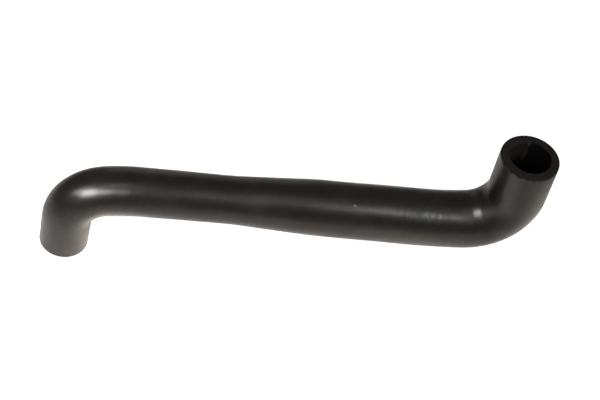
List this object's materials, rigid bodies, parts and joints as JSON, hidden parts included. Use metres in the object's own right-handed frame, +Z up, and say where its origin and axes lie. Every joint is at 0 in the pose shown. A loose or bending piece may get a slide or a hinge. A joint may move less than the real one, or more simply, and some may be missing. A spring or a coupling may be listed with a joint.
{
  "type": "coolant bypass hose",
  "caption": "Moulded rubber coolant hose with a turned-down small end, a tapered run and an upturned large end, for joining two stubs of different size.",
  "frame": {"origin": "on the floor, under the middle of the hose's bounding box", "axes": "+X along the hose from the small end to the large end, +Z up, the centreline in the XZ plane"},
  "size_m": [0.2292, 0.0274, 0.0585],
  "materials": {
    "rubber": "satin"
  },
  "bodies": {
    "root": {"bypass_hose": "rubber"}
  },
  "joints": []
}
